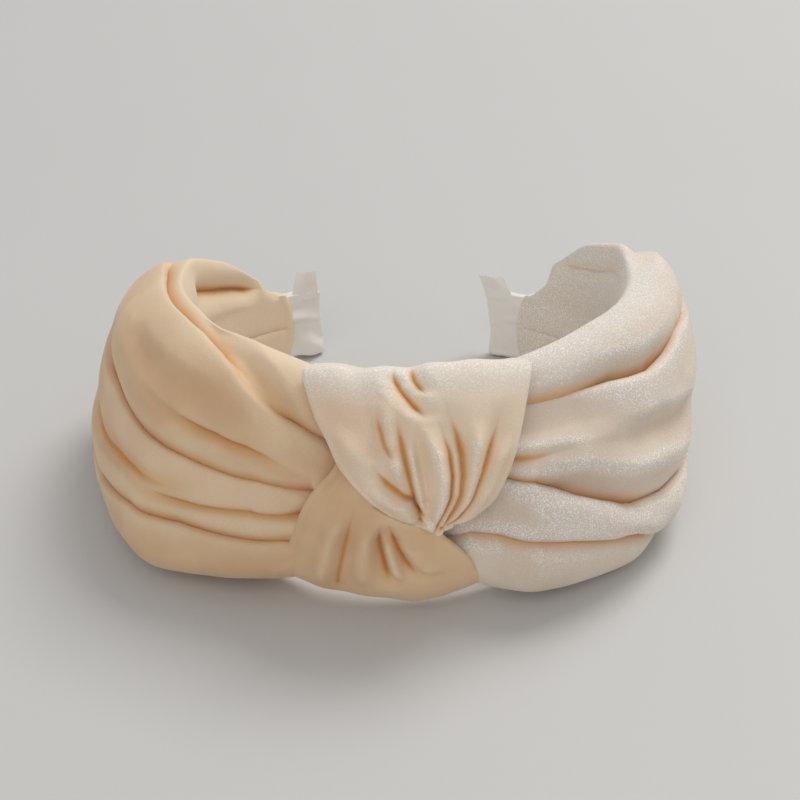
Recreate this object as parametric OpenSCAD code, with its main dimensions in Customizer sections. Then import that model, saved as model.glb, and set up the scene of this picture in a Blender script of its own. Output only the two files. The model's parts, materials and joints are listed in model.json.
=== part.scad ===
// Knotted velvet headband: a springy C-shaped band, covered in satin, inside a wide pleated velvet
// strip that is tied in a knot at the front. Millimetres. The headband stands on a table: +Z is up,
// the knot faces -Y, the two open ends point to +Y, and the origin is under the middle of the
// headband, on the table.
//
// The band is round in its own plane. That plane is tilted, because the knot stands higher than the
// open ends. Every piece is drawn in the band's own frame, where angles are counted from the knot,
// radii from the middle of the head and heights along the axis of the head, and stand() then puts
// it on the table.

/* [Band] */
// Inside radius of the velvet, where it grips the head
grip_r = 60; // [55:1:66]
// Angle from the knot to each end of the plastic band, in degrees
end_angle = 152; // [150:1:156]
// Thickness of the plastic band
core_t = 2.2; // [1.6:0.1:3]
// Height of the satin-covered band
band_h = 20; // [14:1:20]

/* [Flex] */
// Angle from the knot to the point where each arm flexes, in degrees
flex_angle = 24; // [24:0.5:26]
// How far each arm springs open, in degrees
open_limit = 15; // [5:1:15]

/* [Fabric] */
// Thickness of the velvet
velvet_t = 1; // [0.6:0.1:1.2]
// Thickness of the satin
satin_t = 0.5; // [0.3:0.1:0.6]
// Thickness of the glue between velvet and satin
glue_t = 0.3; // [0.1:0.1:0.5]
// Number of lengthwise pleats in each side of the velvet
pleats = 5; // [3:1:6]
// Depth of the grooves between the pleats
pleat_depth = 2.5; // [0:0.5:4]

/* [Knot] */
// Radius of the knot's inner bundle
bundle_r = 70; // [69:0.5:71]
// Top of the knot, as a height in the band's own frame
knot_top = 25; // [24:1:27]
// Bottom of the knot, as a height in the band's own frame
knot_bottom = -33; // [-34:1:-31]

/* [Stand] */
// Tilt of the band's plane, which lifts the knot above the open ends, in degrees
tilt = 12; // [8:1:14]
// Height of the band's middle above the table
lift = 22.6; // [20:0.1:24]
// Smoothness of the drawn arcs
$fn = 120; // [48:12:180]

/* [Hidden] */

// The middle of the round band, measured from under the middle of the whole headband
band_x = 3.7;
band_y = 11;
// Play between neighbouring pieces
play = 0.05;
fabric_play = 0.3;
// Half of the gap at each flexing point, in degrees
flex_gap = 0.35;
crown_end = flex_angle - flex_gap;
arm_start = flex_angle + flex_gap;

// Radii, from the head outwards
glue_in = grip_r + velvet_t;
satin_in = glue_in + glue_t + play;
core_in = satin_in + satin_t + play;
core_out = core_in + core_t;
satin_out = core_out + play + satin_t;
flex_r = (core_in + core_out) / 2;
// Inner radius of the velvet above and below the band, and over its outside
velvet_in = glue_in + fabric_play;
velvet_over = satin_out + fabric_play;

// Half heights
satin_half = band_h / 2;
core_half = satin_half - satin_t - play;
lining_half = satin_half - 0.5;
slot_half = satin_half + 0.4;
glue_strip_half = 3;

// Angles of the open ends
hem_start = end_angle - 10.8;
hem_end = end_angle - 8;
tip_end = end_angle + 2;

// Sides of the velvet: angle from the knot, top edge, bottom edge, outer radius, and how much
// further out the lower half bulges than the upper half
left_side = [
    [24, 25, -31, 76, 6],
    [48, 30, -35, 86, 9],
    [72, 32, -29, 87, 7],
    [100, 33, -21, 86, 5],
    [120, 26, -15, 77, 2],
    [132, 18, -12.5, 70, 0],
    [141, 11.5, -11.5, 66.8, 0]
];
right_side = [
    [24, 25, -33, 77, 8],
    [48, 30, -35, 81, 5],
    [72, 33, -29, 82, 1],
    [100, 37, -21, 81, 0],
    [120, 32, -15, 76, 0],
    [132, 22, -12.5, 70, 0],
    [141, 11.5, -11.5, 66.8, 0]
];
rings = 26;
outline_steps = 30;
// How square the outline is above and below its middle
upper_squareness = 0.8;
lower_squareness = 0.62;
// The front end of each side leans back by this angle, which leaves room for the arm to open
front_lean = open_limit + 2;
// The lean fades out over this many degrees along the side
lean_fade = 20;

// Front outlines of the two wraps of the knot: across, and height in the band's own frame
upper_wrap = [
    [-24, knot_top + 1], [28.5, knot_top + 1], [27.6, 17], [23, 4], [13, -10], [5.8, -12],
    [2, -10.5], [-6.3, -6], [-14.7, 6.5]
];
lower_wrap = [
    [-17.5, 9], [-25.7, -5], [-30, -28], [-27, knot_bottom - 1], [15, knot_bottom - 1],
    [18, -29], [15, -20], [9, -13.5], [5.8, -12.7], [1.8, -11.2], [-6.8, -6.6]
];
// The knot's outside is an arc in section
dome_r = 51;
dome_centre = [29, -4];
bundle_top = knot_top - 4;
bundle_bottom = knot_bottom + 6;
// Half the width of the knot's heart, in degrees
heart_angle = 10;

// --- helpers ---

// Puts a piece that is drawn in the band's own frame on the table
module stand() {
    translate([band_x, band_y, lift]) rotate([-tilt, 0, 0]) children();
}

// Keeps what is above the table
module above_table() {
    intersection() {
        children();
        translate([-150, -150, 0]) cube([300, 300, 150]);
    }
}

// Turns a section, drawn as radius across and height up, from one angle to another
module arc(from_angle, to_angle) {
    rotate([0, 0, from_angle - 90]) rotate_extrude(angle = to_angle - from_angle) children();
}

// A rectangle between two radii, with half a height each way
module strip(r_in, r_out, half) {
    translate([r_in, -half]) square([r_out - r_in, 2 * half]);
}

// Draws the right-hand piece as it is and the left-hand piece mirrored
module side(hand) {
    if (hand == "left") mirror([1, 0, 0]) children();
    else children();
}

function polar(r, angle, height) = [r * sin(angle), -r * cos(angle), height];

// Height of the table in the band's own frame, below a point at this distance behind the middle
function table_height(back) = (back * sin(tilt) - lift) / cos(tilt);

function rest_on_table(p) = [p[0], p[1], max(p[2], table_height(p[1]))];

function column(table, index) = [for (row = table) [row[0], row[index]]];

function signed_power(value, power) = sign(value) * pow(abs(value), power);

// --- plastic band ---

module core_crown() {
    color("whitesmoke") stand() arc(-crown_end, crown_end) strip(core_in, core_out, core_half);
}

module core_arm(hand) {
    color("whitesmoke") stand() side(hand)
        arc(arm_start, end_angle) strip(core_in, core_out, core_half);
}

// --- satin cover ---

// The satin's section: a sleeve round the plastic
module sleeve_section() {
    difference() {
        strip(satin_in, satin_out, satin_half);
        strip(core_in - play, core_out + play, core_half + play);
    }
}

module satin_crown() {
    color("ivory") stand() arc(-crown_end, crown_end) sleeve_section();
}

module satin_arm(hand) {
    color("ivory") stand() side(hand) arc(arm_start, hem_end) sleeve_section();
}

// The satin's end, folded over the end of the plastic, with one raw corner standing up
module satin_tip(hand) {
    corner_h = 8;
    corner_t = 0.6;
    color("ivory") stand() side(hand) {
        difference() {
            arc(hem_end, tip_end) strip(satin_in, satin_out, satin_half);
            arc(hem_end - 1, end_angle + 1.5)
                strip(core_in - play, core_out + play, core_half + play);
        }
        arc(end_angle - 3, tip_end - 0.5)
            translate([satin_in + 1, satin_half - satin_t / 2])
                square([corner_t, corner_h + satin_t / 2]);
    }
}

// --- glue ---

module glue_strip(from_angle, to_angle) {
    color("wheat") arc(from_angle, to_angle) strip(glue_in, glue_in + glue_t, glue_strip_half);
}

module glue_strip_crown() {
    stand() glue_strip(-crown_end, crown_end);
}

module glue_strip_arm(hand) {
    stand() side(hand) glue_strip(arm_start, hem_start);
}

// The dab that holds the folded end of the satin on the plastic
module glue_end(hand) {
    color("wheat") stand() side(hand)
        arc(end_angle + 0.1, end_angle + 1.4) strip(core_in, core_out, core_half);
}

// --- velvet against the head ---

module velvet_lining_crown() {
    color("peachpuff") stand() arc(-crown_end, crown_end) strip(grip_r, glue_in, lining_half);
}

module velvet_lining(hand) {
    color("peachpuff") stand() side(hand)
        arc(arm_start, hem_start) strip(grip_r, glue_in, lining_half);
}

// --- velvet sides ---

// Groove between pleats, from 0 on a pleat's crest to 1 in a groove
function groove(f) = pow(1 - abs(sin(180 * pleats * f)), 2);

// Outside of a side's section at an angle, as [radius, height] from its top edge to its bottom edge
function outside(table, angle) =
    let (
        top = lookup(angle, column(table, 1)),
        bottom = lookup(angle, column(table, 2)),
        reach = lookup(angle, column(table, 3)) - velvet_in,
        low_bulge = lookup(angle, column(table, 4)),
        fade = sin(180 * (angle - flex_angle) / (hem_start - flex_angle))
    ) [
        for (i = [0:outline_steps])
            let (
                turn = 180 * i / outline_steps,
                squareness = turn < 90 ? upper_squareness : lower_squareness,
                up = signed_power(cos(turn), squareness),
                out = pow(sin(turn), squareness),
                dent = pleat_depth * fade * out * groove(i / outline_steps)
            )
            [
                velvet_in + max(0, (reach - low_bulge * up) * out - dent),
                (top + bottom) / 2 + up * (top - bottom) / 2
            ]
    ];

// Inside of a side's section, from the bottom up, round the satin-covered band
inside = [
    [velvet_in, -slot_half], [velvet_over, -slot_half],
    [velvet_over, slot_half], [velvet_in, slot_half]
];

// How far back a point of the leaning front end lies, in degrees
function lean(r) = front_lean - asin(flex_r * sin(front_lean) / r);

function side_ring(table, angle) =
    let (fade = max(0, 1 - (angle - arm_start) / lean_fade))
    [
        for (p = concat(outside(table, angle), inside))
            rest_on_table(polar(p[0], angle + fade * lean(p[0]), p[1]))
    ];

// Triangles that close a ring: its upper half fans out from the inside's upper corner over the band
// and its lower half from the lower corner
end_cap = let (
    middle = outline_steps / 2,
    first_inside = outline_steps + 1,
    lower_corner = first_inside + 1,
    upper_corner = first_inside + 2,
    last_inside = first_inside + 3
) concat(
    [for (j = [0:middle - 1]) [j, j + 1, upper_corner]],
    [for (j = [middle:outline_steps]) [j, j + 1, lower_corner]],
    [[middle, lower_corner, upper_corner], [0, upper_corner, last_inside]]
);

// A closed solid through rings that all have the same number of points
module loft(rings_of_points) {
    n = len(rings_of_points[0]);
    last = len(rings_of_points) - 1;
    points = [for (ring = rings_of_points) for (p = ring) p];
    last_cap = [for (t = end_cap) [t[2] + last * n, t[1] + last * n, t[0] + last * n]];
    walls = [
        for (i = [0:last - 1])
            for (j = [0:n - 1])
                let (a = i * n + j, b = i * n + (j + 1) % n)
                for (triangle = [[a, a + n, b], [b, a + n, b + n]]) triangle
    ];
    polyhedron(points = points, faces = concat(end_cap, walls, last_cap));
}

module velvet_side(hand) {
    table = hand == "left" ? left_side : right_side;
    color("navajowhite") stand() side(hand) loft([
        for (i = [0:rings])
            side_ring(table, arm_start + i * (hem_start - fabric_play - arm_start) / rings)
    ]);
}

// The velvet's end, turned in round the satin, with its inner corners rolled over
module velvet_hem(hand) {
    hem_half = slot_half + 1;
    hem_out = velvet_over + 1.5;
    roll = hem_half - lining_half;
    color("peachpuff") above_table() stand() side(hand)
        arc(hem_start, hem_end) difference() {
            polygon([
                [grip_r, -lining_half], [grip_r + roll, -hem_half], [hem_out, -hem_half],
                [hem_out, hem_half], [grip_r + roll, hem_half], [grip_r, lining_half]
            ]);
            strip(satin_in - play, satin_out + play, satin_half + play);
        }
}

// --- knot ---

// The bundle under the wraps: from above the band to below it, and outwards to the wraps
module bundle_section() {
    difference() {
        translate([velvet_in, bundle_bottom])
            square([bundle_r - velvet_in, bundle_top - bundle_bottom]);
        strip(glue_in, velvet_over, slot_half);
    }
}

// The gathered end of each side, where it runs into the knot
module velvet_neck(hand) {
    color("navajowhite") stand() side(hand)
        arc(heart_angle + flex_gap, crown_end) bundle_section();
}

// The hidden crossing in the middle of the knot
module knot_heart() {
    color("peachpuff") stand() arc(-heart_angle, heart_angle) bundle_section();
}

// The room that the wraps fill, between the bundle and the knot's outside
module wrap_section() {
    margin = fabric_play / 2;
    difference() {
        intersection() {
            translate(dome_centre) circle(r = dome_r);
            translate([velvet_in, knot_bottom])
                square([dome_centre[0] + dome_r - velvet_in, knot_top - knot_bottom]);
        }
        translate([velvet_in - 1, bundle_bottom - margin])
            square([bundle_r + margin - velvet_in + 1, bundle_top - bundle_bottom + 2 * margin]);
    }
}

// One wrap of the knot, cut to its front outline
module wrap(outline) {
    intersection() {
        arc(-crown_end, crown_end) wrap_section();
        rotate([90, 0, 0]) linear_extrude(height = 2 * grip_r) polygon(outline);
    }
}

module knot_upper_wrap() {
    color("antiquewhite") stand() wrap(upper_wrap);
}

module knot_lower_wrap() {
    color("antiquewhite") stand() wrap(lower_wrap);
}

// --- assembly ---

core_crown();
core_arm("left");  // core_arm_left
core_arm("right");  // core_arm_right
satin_crown();
satin_arm("left");  // satin_arm_left
satin_arm("right");  // satin_arm_right
satin_tip("left");  // satin_tip_left
satin_tip("right");  // satin_tip_right
glue_strip_crown();
glue_strip_arm("left");  // glue_strip_left
glue_strip_arm("right");  // glue_strip_right
glue_end("left");  // glue_end_left
glue_end("right");  // glue_end_right
velvet_lining_crown();
velvet_lining("left");  // velvet_lining_left
velvet_lining("right");  // velvet_lining_right
velvet_side("left");  // velvet_side_left
velvet_side("right");  // velvet_side_right
velvet_hem("left");  // velvet_hem_left
velvet_hem("right");  // velvet_hem_right
velvet_neck("left");  // velvet_neck_left
velvet_neck("right");  // velvet_neck_right
knot_heart();
knot_upper_wrap();
knot_lower_wrap();
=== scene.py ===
"""The knotted velvet headband as it looks: the pleated velvet sides, the two wraps of the knot and the
satin ends, laid over the CAD frame, with materials, floor, lights and camera.

Shapes are drawn in millimetres in the band's own frame, as in the CAD: an angle from the knot, a
radius from the middle of the head and a height along the axis of the head. on_table() turns them
into metres in the row frame.
"""

import json
import math

import bpy
import numpy as np
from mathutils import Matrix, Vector


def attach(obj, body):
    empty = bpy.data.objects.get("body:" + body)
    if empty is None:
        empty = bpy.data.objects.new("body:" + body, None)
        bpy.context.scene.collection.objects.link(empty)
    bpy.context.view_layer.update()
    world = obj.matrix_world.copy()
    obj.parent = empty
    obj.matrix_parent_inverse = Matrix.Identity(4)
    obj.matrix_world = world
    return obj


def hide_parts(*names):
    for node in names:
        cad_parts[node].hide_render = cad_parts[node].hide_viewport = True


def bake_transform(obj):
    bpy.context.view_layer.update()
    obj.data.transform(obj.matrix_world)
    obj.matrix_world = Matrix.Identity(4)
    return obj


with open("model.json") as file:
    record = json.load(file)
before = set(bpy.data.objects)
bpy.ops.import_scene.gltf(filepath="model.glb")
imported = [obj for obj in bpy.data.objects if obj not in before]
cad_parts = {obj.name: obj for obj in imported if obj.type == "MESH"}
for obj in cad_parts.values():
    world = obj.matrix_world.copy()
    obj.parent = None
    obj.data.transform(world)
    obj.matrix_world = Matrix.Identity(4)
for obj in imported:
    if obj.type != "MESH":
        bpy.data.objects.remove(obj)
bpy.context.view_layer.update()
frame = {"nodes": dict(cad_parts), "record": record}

# --- where the band stands, as its grip on the head says ---

grip = next(mount for mount in frame["record"]["mounts"] if mount["name"] == "head_grip")
BAND_MIDDLE = 1000 * np.array(grip["pos_m"])
TILT = math.atan2(grip["axis"][1], grip["axis"][2])

# --- the satin-covered band inside the velvet ---

# The sleeve's inner and outer radius, and half its height
SLEEVE_IN = 61.35
SLEEVE_OUT = 64.65
SLEEVE_HALF = 10.0
# Angles from the knot where the velvet's end starts to turn in, and where the plastic and the satin end
HEM_START = 141.2
BAND_END = 152.0
TIP_END = 154.0


def on_table(points):
    """Band frame in millimetres to row frame in metres."""
    x, y, z = points[..., 0], points[..., 1], points[..., 2]
    cos, sin = math.cos(TILT), math.sin(TILT)
    stood = np.stack([x, y * cos + z * sin, z * cos - y * sin], axis=-1)
    return (stood + BAND_MIDDLE) / 1000


def polar(angle, radius, height):
    """Points in the band frame, at an angle from the knot, a radius and a height."""
    a = np.radians(angle)
    return np.stack([radius * np.sin(a), -radius * np.cos(a), height + 0 * a], axis=-1)


def above_table(points, gap):
    """The points, with those that would lie less than the gap above the table moved up."""
    table = (points[..., 1] * math.sin(TILT) - BAND_MIDDLE[2]) / math.cos(TILT)
    moved = points.copy()
    moved[..., 2] = np.maximum(points[..., 2], table + gap)
    return moved


def for_hand(points, hand):
    """The points as drawn for the right side, and mirrored for the left."""
    return points * (-1, 1, 1) if hand == "left" else points


# --- small curve and noise tools ---


def smoothstep(x):
    """Rises smoothly from 0, at and below 0, to 1, at and above 1."""
    t = np.clip(x, 0, 1)
    return t * t * (3 - 2 * t)


def spline(points, count):
    """A smooth curve through the points, as count points equally far apart."""
    p = np.array(points, float)
    ends = [2 * p[0] - p[1]], [2 * p[-1] - p[-2]]
    p = np.concatenate([ends[0], p, ends[1]])
    t = np.linspace(0, 1, 24, endpoint=False)[:, None]
    pieces = []
    for a, b, c, d in zip(p[:-3], p[1:-2], p[2:-1], p[3:]):
        cubic = (3 * b - 3 * c + d - a) * t**3 + (2 * a - 5 * b + 4 * c - d) * t**2
        pieces.append((cubic + (c - a) * t + 2 * b) / 2)
    pieces.append(p[-2:-1])
    return even(np.concatenate(pieces), count)


def even(points, count):
    """The same line as count points equally far apart, as measured in its first two coordinates."""
    length = distance_along(points[:, :2])
    where = np.linspace(0, length[-1], count)
    return np.stack([np.interp(where, length, column) for column in points.T], axis=1)


def distance_along(points):
    """How far along a line each of its points lies."""
    steps = np.linalg.norm(np.diff(points, axis=0), axis=1)
    return np.concatenate([[0], np.cumsum(steps)])


def soft_noise(shape, cells, seed):
    """Smooth noise from -1 to 1 over a grid, with this many bumps each way."""
    rng = np.random.default_rng(seed)
    field = rng.uniform(-1, 1, (cells[0] + 3, cells[1] + 3))
    for axis in (0, 1):
        x = np.linspace(1, cells[axis] + 1, shape[axis])
        i = np.minimum(x.astype(int), cells[axis])
        f = x - i
        rows = [np.take(field, i + k, axis) for k in (-1, 0, 1, 2)]
        if axis == 0:
            f = f[:, None]
        # the four weights of a cubic B-spline
        weights = [
            (1 - f) ** 3 / 6,
            (3 * f**3 - 6 * f**2 + 4) / 6,
            (-3 * f**3 + 3 * f**2 + 3 * f + 1) / 6,
            f**3 / 6,
        ]
        field = sum(w * row for w, row in zip(weights, rows))
    return field * 2


# --- folds ---


def fold(line, depth, width, kind, fade):
    """A crease along a line of (along, across) points. The cloth sinks towards it over a width, and the
    depth and the width may each be a pair, for the line's two ends, in millimetres. The kinds are:
    round, between two round rolls; soft, a shallow valley; before or after, where the cloth on that
    side is rolled over the other; and step, where all that comes after the line lies lower. fade is
    the share of the line over which each end fades out."""
    return {
        "line": np.array(sorted(line), float),
        "depth": depth if isinstance(depth, tuple) else (depth, depth),
        "width": width if isinstance(width, tuple) else (width, width),
        "kind": kind,
        "fade": fade,
    }


def ridge(line, height, width):
    """The soft crest of a pleat along a line, the opposite of a soft fold."""
    return fold(line, -height, width, "soft", (0.3, 0.3))


def round_valley(x):
    """1 in the crease and 0 one width away, as between two round rolls of cloth."""
    y = np.clip(1 - np.abs(x), 0, 1)
    return 1 - np.sqrt(1 - y * y)


def soft_valley(x):
    """1 in the crease and 0 one width away, with no edge anywhere."""
    return smoothstep(1 - np.abs(x))


# The share of a roll's width where the cloth still lies flat
FLAT_SHARE = 0.45


def lapped(x, width, depth):
    """Sink, drag and depth in the crease where one side is rolled over the other, for distances x that
    are positive on the rolled side: first flat cloth, then a half circle that turns back under it."""
    near = 1 - x / width
    turn = math.pi * ((near - FLAT_SHARE) / (1 - FLAT_SHARE)).clip(0, 1)
    radius = depth / 2
    flat = width * (1 - near / FLAT_SHARE)
    rolled = (x > 0) & (x < width)
    reach = np.where(near < FLAT_SHARE, flat, -radius * np.sin(turn))
    drag = np.where(rolled, reach - x, 0)
    under = depth * (1 + x / width).clip(0, 1) ** 1.7
    sink = np.where(rolled, radius * (1 - np.cos(turn)), np.where(x <= 0, under, 0))
    shaded = (1 + x / width / 1.3).clip(0, 1) ** 1.3
    root = np.where(rolled, (2 * turn / math.pi - 1).clip(0, 1), np.where(x <= 0, shaded, 0))
    return sink, drag, root


# A fold this deep, or deeper, has the full painted shade of a crease
TINTED_DEPTH = 2.5


def fold_fields(folds, along, across_of, across, step):
    """How far the cloth sinks, how far it is dragged across, and how deep in a crease it lies, as a
    share. along is a value per row. across_of turns a line's value at each row into a distance across,
    and step is how far apart the rows are, both in millimetres."""
    sink, drag, crease = (np.zeros(across.shape) for _ in range(3))
    for f in folds:
        line = f["line"]
        start, end = line[0, 0], line[-1, 0]
        share = ((along - start) / (end - start)).clip(0, 1)
        middle = across_of(np.interp(along, line[:, 0], line[:, 1]))
        slope = np.gradient(middle) / step
        x = (across - middle[:, None]) / np.sqrt(1 + slope**2)[:, None]
        low, high = (max(part, 0.01) for part in f["fade"])
        strength = smoothstep(share / low) * smoothstep((1 - share) / high)
        strength = strength * (along >= start) * (along <= end)
        depth = (np.interp(share, (0, 1), f["depth"]) * strength)[:, None]
        width = np.interp(share, (0, 1), f["width"])[:, None]
        if f["kind"] in ("before", "after"):
            side = -1 if f["kind"] == "before" else 1
            dip, pull, root = lapped(x * side, width, depth.clip(1e-6))
            dip = dip + 0.4 * depth * soft_valley(x / width / 1.8)
            drag += pull * side * strength[:, None]
        elif f["kind"] == "step":
            dip, root = depth * smoothstep(1 + x / width), 0 * x
        elif f["kind"] == "round":
            dip = depth * (0.55 * soft_valley(x / width) + 0.45 * round_valley(1.6 * x / width))
            root = (1 - np.abs(x) / width).clip(0) ** 3
        else:
            dip = depth * soft_valley(x / width)
            root = 0.3 * soft_valley(x / width)
        sink += dip
        crease = np.maximum(crease, root * strength[:, None] * min(1, max(f["depth"]) / TINTED_DEPTH))
    return sink, drag, crease


def blur(field, reach):
    """Smooths a field both ways over this many points."""
    kernel = np.hanning(2 * reach + 3)[1:-1]
    kernel /= kernel.sum()
    for axis in (0, 1):
        pad = [(reach, reach) if k == axis else (0, 0) for k in (0, 1)]
        padded = np.pad(field, pad, mode="edge")
        field = np.apply_along_axis(np.convolve, axis, padded, kernel, "valid")
    return field


# --- meshes ---


def new_object(name, verts, faces):
    """A smooth-shaded object in the scene."""
    mesh = bpy.data.meshes.new(name)
    mesh.from_pydata([tuple(v) for v in verts], [], faces)
    mesh.update()
    mesh.polygons.foreach_set("use_smooth", [True] * len(mesh.polygons))
    obj = bpy.data.objects.new(name, mesh)
    bpy.context.scene.collection.objects.link(obj)
    return obj


def grid_object(name, points, fields, flip=False):
    """A sheet from a grid of points, with named values at its points for the materials. flip turns its
    faces over, so that they look outwards."""
    rows, columns = points.shape[:2]
    i, j = np.meshgrid(np.arange(rows - 1), np.arange(columns - 1), indexing="ij")
    a = (i * columns + j).ravel()
    quads = np.stack([a, a + 1, a + columns + 1, a + columns], axis=1)
    if flip:
        quads = quads[:, ::-1]
    obj = new_object(name, points.reshape(-1, 3), quads.tolist())
    for field, values in fields.items():
        attribute = obj.data.attributes.new(field, "FLOAT", "POINT")
        attribute.data.foreach_set("value", values.astype(np.float32).ravel())
    return obj


# --- pleated velvet sides ---

# Angle from the knot, top, bottom, outer radius, and how much further out the lower half bulges
LEFT_STATIONS = [
    (6, 20, -24, 68, 0),
    (15, 22, -28, 71, 1),
    (24, 25, -31, 76, 5),
    (48, 30, -35, 87, 10),
    (72, 32, -30, 86.5, 7),
    (100, 33, -21, 87, 5),
    (120, 26, -15, 78, 2),
    (132, 18, -12.5, 71, 0),
    (HEM_START, 11.5, -11.5, 67, 0),
]
RIGHT_STATIONS = [
    (3, 18, -26, 68, 0),
    (15, 22, -31, 72, 3),
    (24, 25, -33, 77, 8),
    (48, 30, -35, 81, 5),
    (72, 32, -29, 81.5, 1),
    (100, 37, -21, 80.5, -1),
    (120, 32, -15, 76, 0),
    (132, 23, -12.5, 71, 0),
    (137, 20.5, -12, 69, 0),
    (HEM_START, 11.5, -11.5, 67, 0),
]
# How square the outline is above and below its middle
UPPER_SQUARENESS = 0.75
LOWER_SQUARENESS = 0.62
# Radius of the cloth's top and bottom edges, and of the cloth against the head
OUTLINE_IN = 61.3
LINING_R = 60.25
# Points along each side and round it
ROWS = 290
COLUMNS = 330
# Radius where distances along a side are measured
MIDDLE_R = 80
# The seam on the inside: its depth, and how far it spreads each way
SEAM_DEPTH = 0.7
SEAM_WIDTH = 2.5
# The cloth lies loose, and is uneven, from this radius outwards, and fully so after this many more mm
LOOSE_R = 61
LOOSE_REACH = 6
# The pleats die out over this many degrees before the hem
CALM_REACH = 12
# How far round a point, in grid points, the cloth is averaged to tell crests from hollows
RELIEF_REACH = 14
# How far the hem's corners are drawn back from its middle, and over what length, in degrees
HEM_CURVE = 2.0
HEM_CURVE_REACH = 10
# The rolled hem: how far past HEM_START each row lies, in degrees, and its gap to the satin
HEM_ROLL = [(0.8, 1.25), (1.6, 1.3), (2.3, 1.15), (2.8, 0.8), (2.95, 0.45), (2.8, 0.12)]

# Creases as (angle, percent). A percent above 0 is of the way from the top edge down the outside, and
# one below 0 is of the way from the top edge down the inside, to the seam.
LEFT_FOLDS = [
    fold([(12, 40), (16, 33), (21, 27.5), (27, 20), (33, 13.5)], (4.4, 2), (4, 6), "after", (0.02, 0.6)),
    fold(
        [(22, 24), (27, 19), (35, 12), (41, 9), (48, 7), (57, 6), (78, 6), (96, 7), (112, 9)],
        (1.2, 3), (5, 9), "after", (0.3, 0.3),
    ),
    fold([(18, 26), (22, 20), (28, 14), (36, 7.5), (48, 3), (62, 2)], 3, (5, 10), "soft", (0.3, 0.4)),
    fold([(34, 24), (40, 22), (48, 21), (60, 20), (74, 18)], 1.2, 6, "soft", (0.3, 0.5)),
    fold(
        [(17, 49), (20, 44), (23, 39.5), (27, 35), (30, 32.5), (36, 30), (46, 28.5), (58, 27)],
        (1, 3), (4, 6.5), "before", (0.4, 0.6),
    ),
    fold(
        [
            (17, 52), (24, 48), (28, 46), (32, 45), (37, 43), (42, 41), (48, 39), (61, 38), (75, 36),
            (95, 31),
        ],
        (2.8, 3.6), (3.4, 8), "after", (0.02, 0.4),
    ),
    fold(
        [(34, 47), (44, 47), (52, 47), (60, 48), (70, 50), (84, 49), (100, 46)],
        2.8, (4, 8), "round", (0.35, 0.4),
    ),
    fold(
        [(16, 58.5), (21, 56), (29, 52.5), (34, 51.5), (40, 50.5), (46, 50), (56, 50.5)],
        (3.4, 2), (3, 4), "before", (0.02, 0.5),
    ),
    fold(
        [
            (16, 70), (22, 68), (29, 65), (33, 63), (37, 61), (41, 59), (46, 58), (52, 58), (58, 60),
            (66, 63), (80, 63), (96, 60),
        ],
        (2.4, 3.4), (3.4, 7), "after", (0.1, 0.4),
    ),
    fold(
        [(92, -31), (105, -32), (113, -33), (120, -32), (127, -26), (134, -13)],
        4.5, (10, 5), "round", (0.2, 0.2),
    ),
]
RIGHT_FOLDS = [
    fold(
        [
            (12, 18), (24, 18), (35, 20), (45, 22), (50, 24), (56, 26), (64, 26), (72, 24), (85, 25),
            (100, 23),
        ],
        (3, 3.6), (5, 8), "after", (0.02, 0.35),
    ),
    fold([(32, 17), (44, 19), (54, 22), (64, 22), (74, 19)], 3, 6.5, "soft", (0.4, 0.4)),
    fold([(14, 24), (24, 24), (33, 25), (40, 27), (52, 31)], 3, (4, 7), "soft", (0.02, 0.6)),
    fold([(12, 34), (21, 33), (28, 33), (35, 34)], 2.4, (4, 5), "round", (0.02, 0.6)),
    fold([(33, 33), (45, 38), (55, 41), (69, 48), (85, 50)], 3.2, 7, "soft", (0.4, 0.4)),
    ridge([(18, 37), (34, 40), (46, 46), (60, 51), (76, 46)], 0.8, 6),
    fold(
        [
            (14, 42), (20, 42), (25, 43), (29, 46), (33, 50), (38, 54), (44, 58), (50, 61), (56, 64),
            (64, 65), (72, 62), (84, 55), (98, 49),
        ],
        (3.4, 2.8), (3.5, 6), "after", (0.02, 0.2),
    ),
    fold([(22, 39), (34, 46), (44, 53), (56, 59), (68, 60)], (3.6, 1.2), (5, 9), "soft", (0.3, 0.4)),
    ridge([(18, 46), (24, 48), (32, 54), (42, 61), (52, 67), (62, 70), (74, 67)], 2.6, 3.6),
    fold(
        [
            (6, 69), (10, 65), (13, 61), (18, 58.5), (25, 58), (31, 60), (37, 62.5), (46, 66), (54, 71),
            (66, 76),
        ],
        (5, 2.6), (5, 5), "before", (0.02, 0.2),
    ),
    fold([(80, 2), (88, 4), (96, 7), (108, 9), (124, 11)], 2.8, (5, 7), "soft", (0.4, 0.4)),
    fold(
        [(88, -17), (95, -19), (104, -23), (112, -25), (121, -22), (127, -12), (132, -3)],
        (1.1, 1.4), (4, 3), "round", (0.3, 0.2),
    ),
]


def smooth_stations(stations, angles):
    """The stations' values at each angle, eased so that no edge kinks at a station."""
    table = np.array(stations, float)
    fine = np.linspace(table[0, 0] - 6, table[-1, 0] + 6, 600)
    reach = 22
    kernel = np.hanning(2 * reach + 1)
    kernel /= kernel.sum()
    columns = []
    for column in table[:, 1:].T:
        values = np.interp(fine, table[:, 0], column)
        eased = np.convolve(np.pad(values, reach, mode="edge"), kernel, "valid")
        columns.append(np.interp(angles, fine, eased))
    return np.stack(columns, axis=1)


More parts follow.
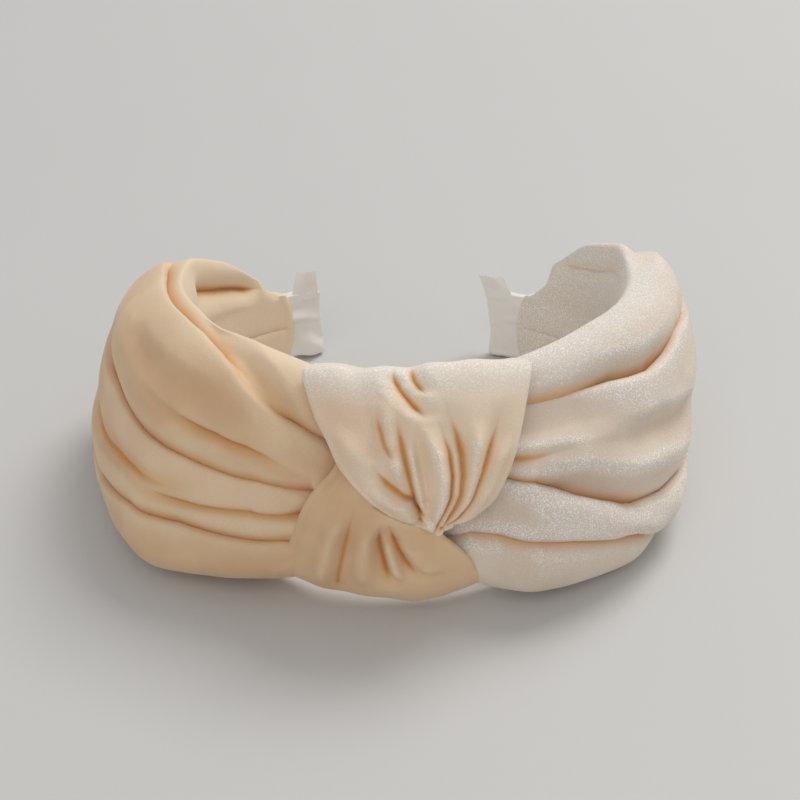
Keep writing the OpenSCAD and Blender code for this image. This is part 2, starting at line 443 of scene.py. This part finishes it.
def side_outline(top, bottom, reach, low_bulge):
    """Section of a side as (radius, height): from the seam on the inside up, over the top, down the
    outside, under the bottom and up to the seam again. Also where the outside starts and ends."""
    turn = np.radians(np.linspace(0, 180, 121))
    squareness = np.where(turn < math.pi / 2, UPPER_SQUARENESS, LOWER_SQUARENESS)
    up = np.sign(np.cos(turn)) * np.abs(np.cos(turn)) ** squareness
    out = np.sin(turn).clip(0) ** squareness
    outside = np.stack(
        [
            OUTLINE_IN + (reach - OUTLINE_IN - low_bulge * up) * out,
            (top + bottom) / 2 + up * (top - bottom) / 2,
        ],
        axis=1,
    )
    puff = 0.12 * max(0, top - SLEEVE_HALF - 3)
    rise = np.linspace(0, 1, 13)[:, None]
    edge = np.array([LINING_R, SLEEVE_HALF])
    over = np.array([OUTLINE_IN, top])
    upper = edge + (over - edge) * rise - np.array([puff, 0]) * np.sin(math.pi * rise)
    lower_edge = np.array([LINING_R, -SLEEVE_HALF])
    lower = lower_edge + (np.array([OUTLINE_IN, bottom]) - lower_edge) * rise
    seam = np.array([[LINING_R, 0.0]])
    outline = np.concatenate([seam, upper, outside[1:-1], lower[::-1], seam])
    length = distance_along(outline)
    span = length[len(upper)], length[-1 - len(lower)]
    return round_corners(even(outline, COLUMNS), 6), span


def round_corners(line, reach):
    """Rounds a line's corners over a few points each way and keeps its ends."""
    kernel = np.hanning(2 * reach + 1)
    kernel /= kernel.sum()
    padded = np.pad(line, ((reach, reach), (0, 0)), mode="edge")
    smooth = np.stack([np.convolve(column, kernel, "valid") for column in padded.T], axis=1)
    smooth[0], smooth[-1] = line[0], line[-1]
    return smooth


def sleeve_outline(gap):
    """The satin sleeve's section, this far off its surface, in the same order as side_outline."""
    r_in, r_out, half = SLEEVE_IN - gap, SLEEVE_OUT + gap, SLEEVE_HALF + gap
    corners = [(r_in, 0), (r_in, half), (r_out, half), (r_out, -half), (r_in, -half), (r_in, 0)]
    return round_corners(even(np.array(corners, float), COLUMNS), 3)


def directions(line):
    """Along a line of (radius, height) points, and square to it: outwards where the line runs down."""
    tangent = np.gradient(line, axis=-2)
    tangent /= np.linalg.norm(tangent, axis=-1, keepdims=True)
    return tangent, np.stack([-tangent[..., 1], tangent[..., 0]], axis=-1)


def unevenness(outlines, seed):
    """The cloth's slow and fine unevenness, where it lies loose."""
    shape = outlines.shape[:2]
    loose = smoothstep((outlines[..., 0] - LOOSE_R) / LOOSE_REACH)
    slow = 0.5 * soft_noise(shape, (5, 9), seed) + 0.2 * soft_noise(shape, (14, 30), seed + 1)
    fine = 0.08 * soft_noise(shape, (50, 60), seed + 2)
    return slow * loose, fine * loose


def side_hem():
    """The velvet's end as rows of points: it rounds over and turns in to the satin."""
    rows = []
    for ahead, gap in HEM_ROLL:
        radius, height = sleeve_outline(gap).T
        drawn_back = HEM_CURVE * (height / SLEEVE_HALF) ** 2
        rows.append(polar(HEM_START + ahead - drawn_back, radius, height))
    return np.array(rows)


def velvet_side(hand):
    """One pleated side: a strip round the band, gathered under the knot and turned in at the end."""
    stations = LEFT_STATIONS if hand == "left" else RIGHT_STATIONS
    folds = LEFT_FOLDS if hand == "left" else RIGHT_FOLDS
    angles = np.linspace(stations[0][0], HEM_START, ROWS)
    made = [side_outline(*row) for row in smooth_stations(stations, angles)]
    outlines = np.stack([outline for outline, _ in made])
    first, last = np.array([span for _, span in made]).T
    across = np.stack([distance_along(outline) for outline in outlines])
    step = np.radians(angles[1] - angles[0]) * MIDDLE_R

    def across_of(percent):
        return first + np.where(percent < 0, first, last - first) * percent / 100

    sink, drag, crease = fold_fields(folds, angles, across_of, across, step)
    slow, fine = unevenness(outlines, 11 if hand == "left" else 23)
    calm = smoothstep((HEM_START - angles) / CALM_REACH)[:, None]
    height = (slow - sink) * calm + fine
    tangent, normal = directions(outlines)
    section = outlines + normal * height[..., None] + tangent * (drag * calm)[..., None]
    from_seam, to_seam = across / SEAM_WIDTH, (across[:, -1:] - across) / SEAM_WIDTH
    section[..., 0] += SEAM_DEPTH * (round_valley(from_seam) + round_valley(to_seam))
    near_hem = smoothstep((angles - HEM_START + HEM_CURVE_REACH) / HEM_CURVE_REACH)
    drawn_back = HEM_CURVE * near_hem[:, None]
    drawn_back = drawn_back * (section[..., 1] / SLEEVE_HALF) ** 2
    body = polar(angles[:, None] - drawn_back, section[..., 0], section[..., 1])
    hem = side_hem()
    points = above_table(for_hand(np.concatenate([body, hem]), hand), 0.15)

    # The fields below carry painted light: a painted sheen on the inside, the top and bottom edges and the
    # hem; more painted glints on the outside further from the knot; painted shade in creases and hollows
    # and painted highlights on crests
    down = (across - first[:, None]) / (last - first)[:, None]
    outer = smoothstep(down / 0.2) * smoothstep((1 - down) / 0.05)
    painted_glint_boost = 0.6 * outer * smoothstep((angles - 40) / 50)[:, None]
    plain = np.zeros((len(hem), COLUMNS))
    fields = {
        "crease": np.concatenate([crease * calm, plain]),
        "relief": np.concatenate([(height - blur(height, RELIEF_REACH)) * calm, plain]),
        "pale": np.concatenate([1 - outer, plain + 1]),
        "painted_glint_boost": np.concatenate([painted_glint_boost, plain]),
    }
    return grid_object(f"velvet_pleats_{hand}", on_table(points), fields, flip=hand == "right")


# --- the wraps of the knot ---

# Height, radius, left edge and right edge, in degrees from the middle of the knot, along each wrap
UPPER_WRAP = [
    (-2, 59.8, -15, 15),
    (4, 59.6, -15.5, 15.5),
    (12, 59.5, -16, 16),
    (20, 59.9, -17, 18.5),
    (24.5, 62.5, -19.5, 23.5),
    (26.6, 67, -20.8, 25.8),
    (25, 70.6, -20.6, 25.8),
    (20.7, 73.8, -18.8, 24),
    (16, 76.2, -16.7, 22.4),
    (11, 78.2, -14, 20.8),
    (5, 79.8, -11.4, 19),
    (0, 80.5, -8, 17.2),
    (-4, 80.6, -5, 15.6),
    (-7, 80.3, -2.3, 13.4),
    (-9.5, 79.6, 1, 11.4),
    (-11.5, 78.2, 3.2, 9.2),
    (-13, 76, 4.2, 7.8),
    (-14.3, 73, 4.8, 7.4),
    (-15, 69, 5, 7.2),
]
LOWER_WRAP = [
    (14, 69.5, -13, -4),
    (8, 74, -12.6, -2),
    (3.3, 76.5, -14, 0),
    (-1, 77.9, -16.4, 2),
    (-6.6, 78.7, -18.9, 4.5),
    (-13, 78.8, -20.9, 6.8),
    (-18, 78.4, -22.3, 10.2),
    (-23, 77.2, -23.6, 12.8),
    (-28.5, 74.8, -25.8, 14.8),
    (-32, 70.8, -27, 15.6),
    (-33, 66.5, -25.5, 15),
    (-30, 62, -20, 13),
    (-23, 59.9, -18, 14.5),
    (-12, 59.4, -16, 15.5),
    (-3, 59.3, -15, 15),
    (3, 59.4, -14.5, 14.5),
]
# Creases as (height, angle), where the height goes on rising past the knot's top, down the inside
UPPER_FOLDS = [
    fold(
        [(-9.4, 1.6), (-7, 2), (-5, 1.8), (-3, 1), (-1, -1), (2, -3.7), (5.5, -5.8), (8, -7)],
        3.4, (2.6, 6), "round", (0.02, 0.4),
    ),
    fold([(6, -2.2), (8, -2.8), (11, -4.2), (15, -5.1), (20, -6.4)], 2.2, 4.5, "round", (0.3, 0.4)),
    fold(
        [(-8, 2.4), (-4, 1.2), (0, 0.9), (5, 0.2), (10, -0.7), (14, -1.3), (20, -2)],
        (3, 2.6), (2.6, 5), "round", (0.02, 0.35),
    ),
    fold([(16, 4.2), (17.5, 3.4), (19.7, 1.6), (23.3, -1.2), (28, -3.4)], 2.8, (4, 5), "round", (0.3, 0.3)),
    fold([(21, 4.4), (22.7, 3.2), (25.2, 1.7), (29, 0.5)], 2.4, 4, "round", (0.35, 0.4)),
    fold([(-10, 4), (-4.6, 3.8), (2, 3.2), (8, 2.4), (17, 1.1)], 2, (1.8, 4), "soft", (0.1, 0.4)),
    fold(
        [(-13, 5.2), (-10, 5.4), (-7, 6.6), (-2, 8.2), (3.5, 8.6), (9.4, 8.1), (14.5, 6.7), (19, 4.4)],
        (2.4, 3), (2, 4.5), "round", (0.02, 0.4),
    ),
    fold(
        [(-13, 6.4), (-6, 8.7), (-1, 10.1), (4, 10.6), (8.6, 10.5), (13, 9.8), (17, 8.6), (22, 6.4)],
        (2.6, 4), (2.4, 6), "round", (0.02, 0.35),
    ),
    fold(
        [(-12, 8), (-8, 10.3), (-2.7, 12.4), (3.5, 14.2), (9, 15.8), (16, 18), (21, 19.4)],
        2.6, (2.4, 6), "round", (0.02, 0.4),
    ),
    ridge([(-8, -0.8), (-4, -2.4), (2, -6.4), (8, -9.5), (16, -12.5)], 2.4, 6),
    ridge([(2, -1.2), (6, -1.6), (10, -2.4), (15, -3.6), (21, -4.4)], 1.6, 3.5),
    ridge([(-8, 3.2), (-4, 2.5), (0, 2.1), (5, 1.5), (10, 0.6), (16, 0)], 1.4, (1.6, 2.6)),
    ridge([(-10, 4.8), (-6, 5.6), (-2, 6.3), (4, 6.5), (10, 5.6), (16, 3.8)], 2.2, (2, 4)),
    ridge([(-8, 7.4), (-2, 9.2), (4, 9.6), (10, 9), (15, 7.8)], 0.9, 2),
    ridge([(-9, 9.2), (-2, 11.2), (4, 12.4), (10, 13), (17, 13.2)], 2, (2.4, 5)),
    ridge([(-6, 12.6), (0, 15), (6, 17), (13, 20)], 1.2, 4),
]
LOWER_FOLDS = [
    fold([(12, -11), (6, -8.5), (0, -4.5), (-4, -1), (-6.5, 3), (-9, 7)], 3.6, 3.5, "step", (0, 0)),
    fold([(-32, -13.6), (-26, -13), (-16, -11.2), (-8.6, -9.6), (-2, -7.8)], 2, 4, "round", (0.15, 0.4)),
    fold(
        [(-28, -2.2), (-24, -2.9), (-19, -3.6), (-13.5, -4.3), (-8, -3.8)],
        3.2, (5, 3), "round", (0.3, 0.3),
    ),
    fold(
        [(-26, 4.6), (-22, 2), (-19.5, 0.7), (-15.6, -0.6), (-12, -1.6), (-8, -2.4)],
        2.8, (4.5, 2.4), "round", (0.35, 0.3),
    ),
    ridge([(-25, -0.6), (-18, -1.9), (-12, -2.8)], 1.8, 2.6),
    ridge([(-29, -17), (-16, -14.2), (-4, -10.6)], 2, 4.5),
    ridge([(-28, -8), (-18, -7.4), (-8, -6)], 1.4, 4),
    ridge([(-24, 7), (-18, 4), (-13, 1.4)], 1.4, 5),
]
# Points along each wrap and across it
WRAP_ROWS = 260
WRAP_COLUMNS = 240
# The share of a wrap's width that lies open, and how its edges roll under beyond that
OPEN_SHARE = 0.86
EDGE_ROLL = math.radians(200)
EDGE_R = 2.0
# How far from the knot's top or bottom edge the cloth is shaped by it, in millimetres
CREST_REACH = 9
# A wrap is pleated and uneven from this radius outwards, and fully so after this many more mm
WRAP_OUTSIDE_R = 62
WRAP_OUTSIDE_REACH = 5


def wrap(name, rows, folds, dome, slant, seed):
    """One wrap of the knot: a ribbon of cloth with its edges rolled under. dome is how far its middle
    stands out from its edges. slant is how far the left and the right corner of its outermost edge,
    the knot's top or bottom, are moved up."""
    path = spline([(r[1], r[0], r[2], r[3]) for r in rows], WRAP_ROWS)
    radius, height, left, right = path.T
    step = distance_along(path[:, :2])[1]
    crest = int(np.argmax(np.abs(height)))
    on_inside = np.arange(WRAP_ROWS) < crest if height[crest] > 0 else np.arange(WRAP_ROWS) > crest
    unrolled = np.where(on_inside, 2 * height[crest] - height, height)
    scale = np.radians(1) * radius
    half = (right - left) / 2 * scale
    middle = (right + left) / 2

    over = np.linspace(-1, 1, WRAP_COLUMNS)
    roll = ((np.abs(over) - OPEN_SHARE) / (1 - OPEN_SHARE)).clip(0, 1) * EDGE_ROLL
    near_crest = np.exp(-(((np.arange(WRAP_ROWS) - crest) * step / CREST_REACH) ** 2))[:, None]
    edge_r = np.minimum(EDGE_R, half / 3)[:, None] * (1 - 0.5 * near_crest)
    side = np.clip(over / OPEN_SHARE, -1, 1)[None, :] * np.ones((WRAP_ROWS, 1))
    x = side * (half[:, None] - edge_r) + np.sign(over) * edge_r * np.sin(roll)
    across = middle[:, None] * scale[:, None] + side * half[:, None]

    order = np.argsort(unrolled)
    fields = fold_fields(folds, unrolled[order], lambda a: a * scale[order], across[order], step)
    sink, drag, crease = (field[np.argsort(order)] for field in fields)

    outside = smoothstep((radius - WRAP_OUTSIDE_R) / WRAP_OUTSIDE_REACH)[:, None]
    calm = 1 - smoothstep((np.abs(over) - 0.9) / 0.1)
    shape = across.shape
    rumple = 0.5 * soft_noise(shape, (6, 7), seed) + 0.15 * soft_noise(shape, (18, 24), seed + 1)
    surface = (rumple - dome * np.abs(side) ** 2.2 - sink * calm) * outside
    lift = surface - edge_r * (1 - np.cos(roll))
    _, normal = directions(path[:, :2])
    edge_waves = 1.1 * soft_noise(shape, (2, 11), seed + 5)
    corners = np.where(side < 0, *slant) * side**2
    points = polar(
        middle[:, None] + (x + drag * calm * outside) / scale[:, None],
        radius[:, None] + normal[:, :1] * lift,
        height[:, None] + normal[:, 1:] * lift + (corners + edge_waves) * near_crest,
    )

    # Painted light: a painted rim highlight along the rolled edges and at the knot's top or bottom edge,
    # added to the relief, and a painted sheen towards the knot's top
    painted_rim_highlight = np.exp(-(((np.abs(over) - 0.9) / 0.05) ** 2)) + near_crest**4
    fields = {
        "crease": crease * calm * outside,
        "relief": (surface - blur(surface, RELIEF_REACH) + 0.5 * painted_rim_highlight) * outside,
        "pale": smoothstep((height - 18) / 8)[:, None] * np.ones(shape),
    }
    return grid_object(name, on_table(points), fields)


# --- satin ends ---

# How far each end leans along the band as it rises, in degrees for each millimetre
LEAN = {"left": -0.09, "right": 0.13}
# The angle of each ring of the satin's end, and how far it lies off the sleeve
SATIN_RINGS = [
    (HEM_START - 2, 0.02), (145, 0.05), (148, 0.05), (150, 0.05),
    (BAND_END, 0.05), (153, 0), (153.8, -0.3), (TIP_END, -1.1), (TIP_END, -1.62),
]


def satin_end(hand):
    """The satin cover's end, wrinkled and folded over the end of the band."""
    _, angles, gaps = spline([(k, *ring) for k, ring in enumerate(SATIN_RINGS)], 90).T
    sections = np.stack([sleeve_outline(gap) for gap in gaps])
    seed = 5 if hand == "left" else 6
    wrinkle = 0.35 * soft_noise(sections.shape[:2], (3, 9), seed)
    wrinkle += 0.7 * np.abs(soft_noise(sections.shape[:2], (5, 14), seed + 1)) ** 2
    from_seam = np.minimum(np.arange(COLUMNS), np.arange(COLUMNS)[::-1])
    free = smoothstep((angles - HEM_START + 1) / 3)[:, None] * smoothstep(from_seam / 20)
    _, normal = directions(sections)
    sections = sections + normal * (wrinkle * free)[..., None]
    lean = (LEAN[hand] * sections[..., 1]).clip(-0.4) * smoothstep((angles - 144) / 8)[:, None]
    points = polar(angles[:, None] + lean, sections[..., 0], sections[..., 1])
    points = above_table(for_hand(points, hand), 0.1)
    return grid_object(f"satin_fold_{hand}", on_table(points), {}, flip=hand == "right")


# The raw corner of the satin: the angles where its foot and its top start, where its top ends, and
# how high it stands
CORNERS = {"left": (143.4, 146.4, 151.9, 17.2), "right": (143.4, 150.0, 157.2, 15.2)}


def satin_corner(hand):
    """The raw corner of the satin that stands up at the end of the band, with a frayed edge."""
    foot_start, top_start, top_end, top = CORNERS[hand]
    foot_end = TIP_END - 0.4 + LEAN[hand] * SLEEVE_HALF
    along, up = np.meshgrid(np.linspace(0, 1, 60), np.linspace(0, 1, 50), indexing="ij")
    start = foot_start + (top_start - foot_start) * (up if hand == "left" else up**0.6)
    end = foot_end + (top_end - foot_end) * up**1.3
    rng = np.random.default_rng(3 if hand == "left" else 4)
    frayed = rng.uniform(-1, 1, along.shape)
    angle = start + (end - start) * along + 0.3 * frayed * (along < 0.02)
    height = SLEEVE_HALF - 2 + (top + 2 - SLEEVE_HALF) * up + 0.25 * frayed * (up > 0.97)
    turned_edge = 1.6 * up * smoothstep(1 - along / 0.45)
    radius = SLEEVE_IN - 0.3 + turned_edge + 0.7 * up * soft_noise(along.shape, (3, 3), 8)
    points = for_hand(polar(angle, radius, height), hand)
    return grid_object(f"satin_corner_{hand}", on_table(points), {}, flip=hand == "left")


# --- materials ---


class Nodes:
    """A material's node tree, with short ways to add and join nodes."""

    def __init__(self, name):
        self.material = bpy.data.materials.new(name)
        self.material.use_nodes = True
        self.tree = self.material.node_tree
        self.shader = self.tree.nodes["Principled BSDF"]

    def add(self, kind, **inputs):
        """A new node with these inputs."""
        node = self.tree.nodes.new("ShaderNode" + kind)
        for key, value in inputs.items():
            self.set(node, key, value)
        return node

    def surface(self, **inputs):
        """Sets inputs of the material's shader and returns the material."""
        for key, value in inputs.items():
            self.set(self.shader, key, value)
        return self.material

    def set(self, node, key, value):
        """Joins an input to another node's output, or gives it a value."""
        socket = node.inputs[key.replace("_", " ")] if isinstance(key, str) else node.inputs[key]
        if isinstance(value, bpy.types.NodeSocket):
            self.tree.links.new(value, socket)
        else:
            socket.default_value = value

    def noise(self, scale, detail=2.0, roughness=0.5, stretch=None):
        """Noise that stays with the object, of this many grains to the metre."""
        where = self.add("TexCoord").outputs["Object"]
        if stretch:
            where = self.add("Mapping", Vector=where, Scale=stretch).outputs["Vector"]
        node = self.add("TexNoise", Vector=where, Scale=scale, Detail=detail, Roughness=roughness)
        return node.outputs["Fac"]

    def ramp(self, value, low, high, to_low=0.0, to_high=1.0):
        """Rises smoothly from to_low to to_high as the value goes from low to high."""
        ends = {"From_Min": low, "From_Max": high, "To_Min": to_low, "To_Max": to_high}
        node = self.add("MapRange", Value=value, **ends)
        node.interpolation_type = "SMOOTHSTEP"
        return node.outputs["Result"]

    def mix(self, share, first, second):
        """The first colour with this share of the second mixed in."""
        node = self.add("Mix")
        node.data_type = "RGBA"
        # A Mix node names its sockets alike for every data type, so its colour sockets go by number
        for socket, value in ((0, share), (6, first), (7, second)):
            self.set(node, socket, value)
        return node.outputs[2]

    def tint(self, colour, where, share, target):
        """The colour with this share of the target mixed in where the value is 1."""
        return self.mix(self.math("MULTIPLY", where, share), colour, (*target, 1))

    def math(self, operation, a, b=0.0):
        node = self.add("Math")
        node.operation = operation
        self.set(node, 0, a)
        self.set(node, 1, b)
        return node.outputs[0]

    def attribute(self, name):
        """A value that the mesh holds at its points, as named in grid_object."""
        node = self.add("Attribute")
        node.attribute_name = name
        return node.outputs["Fac"]

    def bump(self, height, strength, distance):
        """Fine relief for a surface, with the distance in metres."""
        return self.add("Bump", Height=height, Strength=strength, Distance=distance).outputs["Normal"]


def velvet_material(name, pile, shade, top, crease, sparkle):
    """Short-pile velvet: matte, with sheen. It has the colours pile and shade in patches, where the pile
    lies one way and the other. Light is painted into its colour: it turns towards the colour top at
    its top edges, a painted sheen, and on the crests, a painted highlight, towards a warm painted shade
    in the hollows and, deeper, towards the colour crease, a painted crease shade, in the creases.
    sparkle is the strength of the fine painted glints where the pile shines."""
    m = Nodes(name)
    patches = m.ramp(m.noise(45, 3), 0.35, 0.65)
    colour = m.mix(patches, (*shade, 1), (*pile, 1))
    # Painted sheen: towards the colour top at the top edges and the knot's top; the insides and the hem are
    # made paler the same way
    colour = m.tint(colour, m.attribute("pale"), 0.85, top)

    # Painted light from the relief: a warm painted shade in the hollows and a paler painted highlight on
    # the crests
    relief = m.attribute("relief")
    painted_hollow_shade = m.ramp(m.math("MULTIPLY", relief, -1.0), 0.15, 1.3)
    warm_painted_shade = tuple((2 * p + c) / 3 for p, c in zip(pile, crease))
    colour = m.tint(colour, painted_hollow_shade, 0.38, warm_painted_shade)
    crest = m.ramp(relief, 0.1, 0.9)
    crest_highlight_colour = tuple((p + 2 * t) / 3 for p, t in zip(pile, top))
    colour = m.tint(colour, crest, 0.5, crest_highlight_colour)

    # Painted glints: near-white specks, strongest on the crests, the pale parts and where the mesh marks
    # more shine
    fine = m.noise(2900, 2, 0.6)
    painted_glint_mask = m.math("ADD", crest, m.attribute("painted_glint_boost"))
    painted_glint_mask = m.math("ADD", painted_glint_mask, m.math("ADD", m.attribute("pale"), 0.2))
    painted_glint = m.math("MULTIPLY", m.ramp(fine, 0.47, 0.66), sparkle)
    colour = m.mix(m.math("MULTIPLY", painted_glint, painted_glint_mask), colour, (1.0, 0.98, 0.95, 1))

    # Painted crease shade: a warm painted shade spreading from each crease, and the darker orange colour
    # crease in its root
    deep = m.attribute("crease")
    colour = m.tint(colour, m.ramp(deep, 0.05, 0.8), 0.55, warm_painted_shade)
    colour = m.tint(colour, m.ramp(deep, 0.3, 0.9), 0.85, crease)

    return m.surface(
        Base_Color=colour,
        Roughness=0.95,
        Specular_IOR_Level=0.15,
        Sheen_Weight=0.35,
        Sheen_Roughness=0.4,
        Sheen_Tint=(1.0, 0.95, 0.88, 1),
        Normal=m.bump(fine, 0.3, 0.0003),
    )


def satin_material():
    """Smooth woven satin, a little uneven in colour."""
    m = Nodes("satin")
    weave = m.noise(900, 2, 0.5, (1, 1, 6))
    colour = m.mix(m.noise(60, 2), (0.86, 0.84, 0.80, 1), (0.93, 0.91, 0.88, 1))
    normal = m.bump(weave, 0.15, 0.0002)
    return m.surface(Base_Color=colour, Roughness=0.38, Sheen_Weight=0.15, Normal=normal)


def plastic_material():
    """Pale moulded plastic, a little uneven in shine."""
    m = Nodes("band_plastic")
    rough = m.ramp(m.noise(200, 3), 0.3, 0.7, 0.4, 0.55)
    return m.surface(Base_Color=(0.85, 0.84, 0.80, 1), Roughness=rough)


def glue_material():
    """Glossy amber hot-melt glue."""
    m = Nodes("glue")
    colour = m.mix(m.noise(150, 2), (0.80, 0.66, 0.42, 1), (0.88, 0.78, 0.56, 1))
    return m.surface(Base_Color=colour, Roughness=0.25)


def floor_material():
    """A plain pale floor with faint patches."""
    m = Nodes("floor")
    colour = m.mix(m.noise(6, 4), (0.60, 0.595, 0.585, 1), (0.62, 0.615, 0.605, 1))
    return m.surface(Base_Color=colour, Roughness=0.6)


def paint(obj, material):
    """Gives the object this one material."""
    obj.data.materials.clear()
    obj.data.materials.append(material)


# One velvet in three copies coloured for how the light falls on it: a darker copy with painted shade for
# the left side and the knot's lower wrap, a paler copy with painted sheen and strong painted glints for the
# right side, which the key light catches, and a copy lit from above for the knot's upper wrap
SHADED_VELVET = velvet_material(
    "velvet_painted_shade",
    pile=(0.78, 0.55, 0.33),
    shade=(0.70, 0.46, 0.27),
    top=(0.90, 0.74, 0.54),
    crease=(0.66, 0.29, 0.07),
    sparkle=0.10,
)
SHEEN_LIT_VELVET = velvet_material(
    "velvet_painted_sheen",
    pile=(0.79, 0.67, 0.55),
    shade=(0.71, 0.58, 0.46),
    top=(0.76, 0.70, 0.62),
    crease=(0.74, 0.35, 0.09),
    sparkle=0.85,
)
TOP_LIT_VELVET = velvet_material(
    "velvet_painted_top_light",
    pile=(0.88, 0.71, 0.53),
    shade=(0.82, 0.62, 0.44),
    top=(0.84, 0.75, 0.64),
    crease=(0.70, 0.33, 0.09),
    sparkle=0.7,
)
SATIN = satin_material()
PLASTIC = plastic_material()
GLUE = glue_material()
# The material of each CAD node, by the first word of its name
NODE_MATERIALS = {"core": PLASTIC, "satin": SATIN, "glue": GLUE, "velvet": SHADED_VELVET, "knot": TOP_LIT_VELVET}

for node_name, node in frame["nodes"].items():
    paint(node, NODE_MATERIALS[node_name.split("_")[0]])


# --- assembly ---


def bend_at_hinge(obj):
    """Bakes the cloth's placing into its points."""
    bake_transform(obj)


def add_side(hand, velvet):
    """One side's velvet. It stands for all the velvet of the arm and for its gathered end in the knot."""
    pleats = velvet_side(hand)
    paint(pleats, velvet)
    bend_at_hinge(pleats)
    hidden = [f"velvet_{part}_{hand}" for part in ("side", "hem", "lining", "neck")]
    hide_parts(*hidden)


def add_satin(hand):
    """One end of the satin cover, with its raw corner."""
    end = satin_end(hand)
    corner = satin_corner(hand)
    for piece in (end, corner):
        paint(piece, SATIN)
        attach(piece, f"{hand}_arm")
    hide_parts(f"satin_tip_{hand}")


def add_wrap(cloth, velvet, hidden):
    """One wrap of the knot, in place of the hidden CAD nodes."""
    paint(cloth, velvet)
    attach(cloth, "crown")
    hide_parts(*hidden)


for hand, velvet in (("left", SHADED_VELVET), ("right", SHEEN_LIT_VELVET)):
    add_side(hand, velvet)
    add_satin(hand)
upper = wrap("knot_upper_cloth", UPPER_WRAP, UPPER_FOLDS, dome=1.5, slant=(0.8, 1.8), seed=31)
add_wrap(upper, TOP_LIT_VELVET, hidden=["knot_upper_wrap"])
lower = wrap("knot_lower_cloth", LOWER_WRAP, LOWER_FOLDS, dome=3.0, slant=(0.8, -0.4), seed=41)
add_wrap(lower, SHADED_VELVET, hidden=["knot_lower_wrap", "knot_heart", "velvet_lining_crown"])


# --- floor, lights and camera ---

# Where the camera stands and what it looks at, in metres, and its lens and sensor in millimetres
CAMERA_AT = (0.0037, -0.3206, 0.2257)
LOOK_AT = (0.0022, 0.0171, 0.0114)
LENS = 61.2
SENSOR = 36
# What the lights point at
LIGHTS_AT = (0, 0, 0.02)
WORLD_STRENGTH = 0.43


def add_floor():
    bpy.ops.mesh.primitive_plane_add(size=6, location=(0, 0, 0))
    floor = bpy.context.object
    floor.name = "floor"
    paint(floor, floor_material())


def aim(obj, target):
    """Turns a light or camera to face the target."""
    obj.rotation_euler = (Vector(target) - obj.location).to_track_quat("-Z", "Y").to_euler()


def area_light(name, position, size, power, colour):
    light = bpy.data.lights.new(name, "AREA")
    light.size = size
    light.energy = power
    light.color = colour
    obj = bpy.data.objects.new(name, light)
    obj.location = position
    bpy.context.scene.collection.objects.link(obj)
    aim(obj, LIGHTS_AT)


def add_world():
    world = bpy.data.worlds.new("studio")
    world.use_nodes = True
    background = world.node_tree.nodes["Background"]
    background.inputs["Color"].default_value = (1.0, 1.0, 1.0, 1)
    background.inputs["Strength"].default_value = WORLD_STRENGTH
    bpy.context.scene.world = world


def add_camera():
    camera = bpy.data.cameras.new("camera")
    camera.lens = LENS
    camera.sensor_width = SENSOR
    camera.clip_start = 0.01
    obj = bpy.data.objects.new("camera", camera)
    obj.location = CAMERA_AT
    bpy.context.scene.collection.objects.link(obj)
    aim(obj, LOOK_AT)
    bpy.context.scene.camera = obj


add_floor()
add_world()
area_light("key", (0.85, 1.1, 1.9), 1.0, 28, (1.0, 0.98, 0.95))
area_light("fill", (-0.3, -1.5, 1.4), 1.6, 8.5, (0.97, 0.98, 1.0))
add_camera()
bpy.context.scene.view_settings.view_transform = "Standard"
